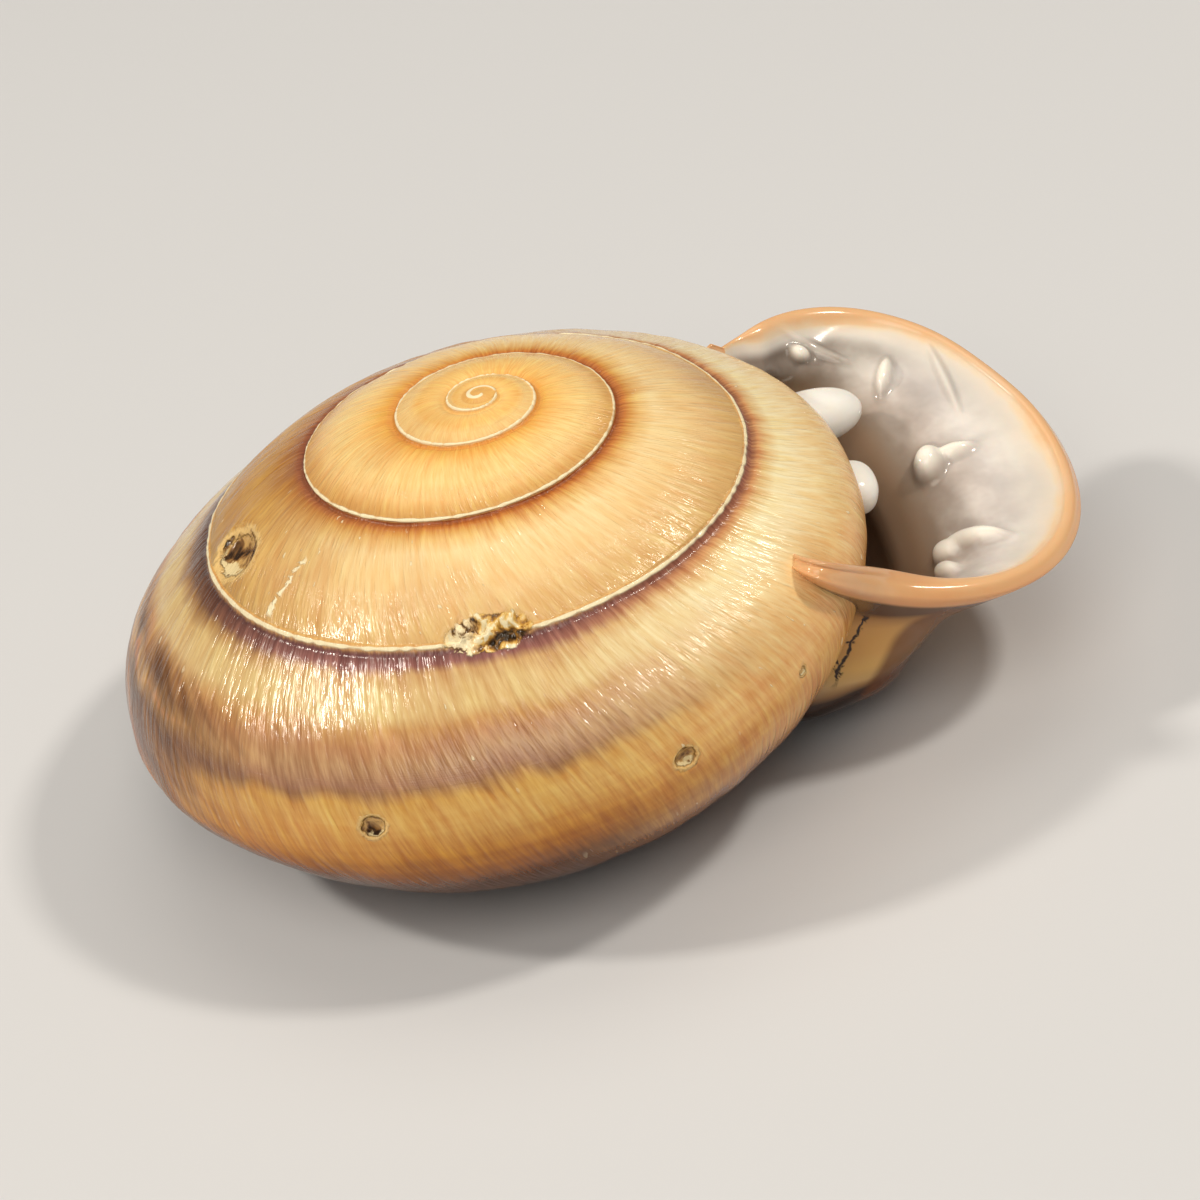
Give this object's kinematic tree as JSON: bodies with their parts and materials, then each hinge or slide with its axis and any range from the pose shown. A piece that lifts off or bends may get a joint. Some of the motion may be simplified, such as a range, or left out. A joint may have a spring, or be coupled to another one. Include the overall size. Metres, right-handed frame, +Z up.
{
  "type": "land snail shell",
  "caption": "Low-domed, right-handed land snail shell whose last whorl bends up into a flared mouth that faces the spire, with rounded teeth inside the lip and on the wall opposite.",
  "frame": {"origin": "On the surface the shell rests on, under the middle of its bounding box.", "axes": "+Z up, out of the spire; +X towards the mouth; +Y away from the front, with the whorls winding clockwise seen from above. The coiling axis is upright, as the shell stands on its base ring."},
  "size_m": [0.04, 0.0338, 0.0174],
  "materials": {
    "shell": "glossy natural shell, golden brown with a purple-brown spiral line and a salmon lip"
  },
  "bodies": {
    "root": {"shell": "shell"}
  },
  "joints": []
}
